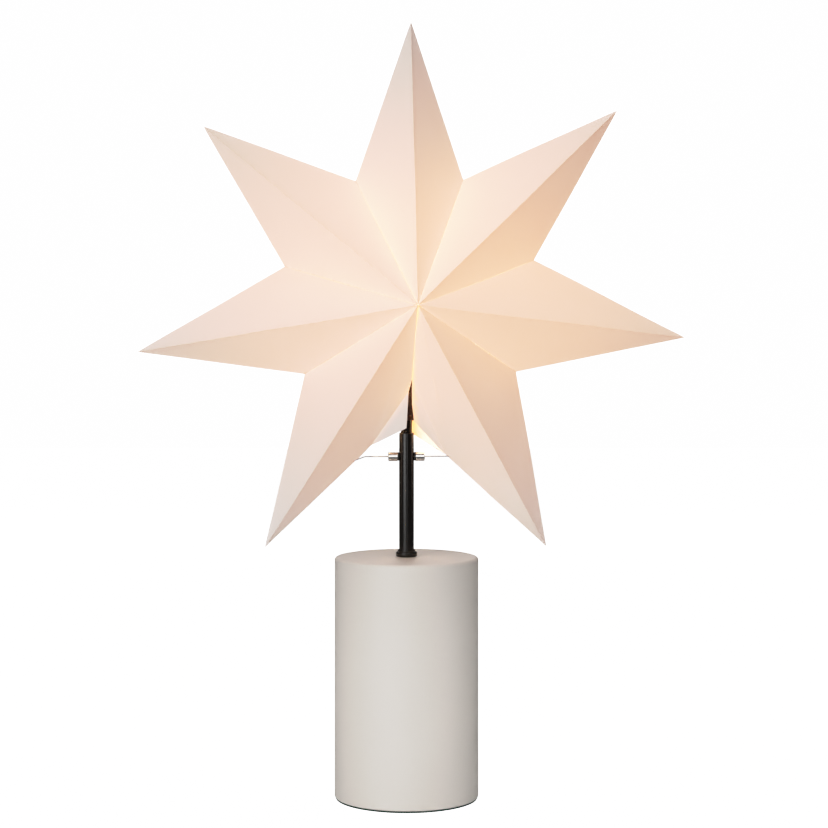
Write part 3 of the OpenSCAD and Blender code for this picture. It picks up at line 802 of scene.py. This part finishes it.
low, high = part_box("holder_cap")
cap_r, foot, top = high.x / MM, low.z / MM, high.z / MM
shoulder = foot + (top - foot + NECK_H) / 2
outside = soften([(NECK_R - NECK_WALL, foot), (NECK_R, foot), (NECK_R, foot + NECK_H),
                  (cap_r, shoulder), (cap_r, top - LIP_H), (cap_r - LIP_STEP, top - LIP_H),
                  (cap_r - LIP_STEP, top)], CAP_EDGE_R)
inside = [(cap_r - WALL, top), (cap_r - WALL, shoulder + WALL / 2),
          (NECK_R - WALL / 2, foot + NECK_H + WALL), (NECK_R - NECK_WALL, foot + NECK_H + WALL)]
mesh = spin("holder_cap", outside + inside, 96, closed=True)
add_piece("moulded_holder_cap", mesh, plastic, "black_plastic", "holder_cap")
print("holder cap radius in mm:", round(cap_r, 2))

# %% The holder's ribbed shell
RIBS = 36
RIB_DEPTH = 0.45
RIBBED = 14
RIM_STEP = 0.5
RIM_SLOPE = 2
MOUTH_R = 9.45
SHELL_EDGE_R = 0.6

low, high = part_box("holder_shell")
shell_r, foot, top = high.x / MM, low.z / MM, high.z / MM


def ribbed(r, z, angle):
    """Cuts grooves between the ribs, only into the outside, and fades them out at both ends."""
    on = min(1, max(0, min(z - foot - 1, foot + RIBBED - z)))
    side = min(1, max(0, r - shell_r + 1))
    return r - RIB_DEPTH * on * side * (0.5 - 0.5 * math.cos(RIBS * angle)) ** 2


outside = soften([(shell_r - WALL, foot), (shell_r, foot), (shell_r, foot + RIBBED),
                  (shell_r - RIM_STEP, foot + RIBBED + RIM_STEP), (shell_r - RIM_STEP, top - RIM_SLOPE),
                  (shell_r - RIM_SLOPE, top), (MOUTH_R, top), (MOUTH_R, top - WALL)], SHELL_EDGE_R)
below = [p for p in outside if p[1] < foot + 1]
grip = [(shell_r, z) for z in steps(foot + 1, foot + RIBBED - 1, 1)]
above = [p for p in outside if p[1] > foot + RIBBED - 0.9]
inside = [(shell_r - WALL, top - WALL)]
mesh = spin("holder_shell", below + grip + above + inside, 8 * RIBS, ribbed, closed=True)
add_piece("ribbed_holder_shell", mesh, plastic, "black_plastic", "holder_shell")
print("grip ribs:", RIBS)

# %% [markdown]
# ## The lit bulb
# A small round bulb with an opal glass sits in the holder. It shows only through the slit, but
# it lights the nipple, the flaps and the tube's top end. Glass, screw cap, insulating ring and
# contact are separate pieces, since their materials differ. A warm point light in the globe's
# middle does the lighting, and the glass lets it pass.

# %% The bulb's glass
CAP_TOP = 24
CAP_R = 6.95
CAP_PITCH = 2.82
CAP_DEPTH = 0.8

foot = bulb_low.z / MM
globe_r, globe_z = GLOBE_R / MM, GLOBE.z / MM
lit_glass, *_ = finish("lit_glass", (0.95, 0.9, 0.82), 0.25, (0.02, 0.05), patch=0.01,
                       grain=0.001, bump=0.000004, Emission_Color=(1, 0.72, 0.4, 1),
                       Emission_Strength=6)
arc = [(globe_r * math.sin(math.radians(a)), globe_z + globe_r * math.cos(math.radians(a)))
       for a in range(0, 121, 5)]
arc[0] = (0, arc[0][1])
neck = soften([arc[-1], (10.5, foot + CAP_TOP + 4), (7.6, foot + CAP_TOP), (6.2, foot + CAP_TOP - 1)], 8)
mesh = spin("bulb_glass", arc + neck[1:] + [(0, foot + CAP_TOP - 1)], 64)
glass = add_piece("bulb_glass", mesh, lit_glass, "lit_glass", "bulb")
glass.visible_shadow = False
print("globe diameter in mm:", round(2 * globe_r, 1))

# %% The bulb's screw cap
THREAD_FROM, THREAD_TO = 6, 20
RIM_TOP = 23.6

cut = thread(CAP_PITCH, CAP_DEPTH, foot + THREAD_FROM, foot + THREAD_TO)
turns = steps(foot + THREAD_FROM, foot + THREAD_TO, CAP_PITCH / 12)
profile = ([(6.0, foot + RIM_TOP), (CAP_R, foot + RIM_TOP), (CAP_R, foot + THREAD_TO)]
           + [(CAP_R, z) for z in reversed(turns)]
           + [(CAP_R - 1.2, foot + 4.2), (3.6, foot + 3.2)])
mesh = spin("bulb_cap", profile, 64, lambda r, z, a: cut(r, z, a) if r > CAP_R - 0.1 else r)
add_piece("bulb_screw_cap", mesh, zinc, "zinc_steel")
mesh = spin("bulb_ring", soften([(5.6, foot + 3.9), (3.4, foot + 1.7), (0, foot + 1.7)], 0.5), 48)
add_piece("bulb_insulating_ring", mesh, rubber, "black_rubber")
mesh = spin("bulb_tip", soften([(2.9, foot + 1.9), (2.7, foot + 0.4), (0, foot)], 0.8), 32)
add_piece("bulb_contact", mesh, zinc, "zinc_steel")
print("screw cap thread pitch in mm:", CAP_PITCH)

# %% The bulb's light
BULB_WATTS = 2
BULB_COLOUR = (1, 0.76, 0.5)

bulb_light = bpy.data.lights.new("bulb_light", "POINT")
bulb_light.color = BULB_COLOUR
bulb_light.energy = BULB_WATTS
bulb_light.shadow_soft_size = GLOBE_R
bulb_lamp = bpy.data.objects.new("bulb_light", bulb_light)
bulb_lamp.location = GLOBE
bpy.context.collection.objects.link(bulb_lamp)
print("bulb light:", bulb_light.energy, "W")
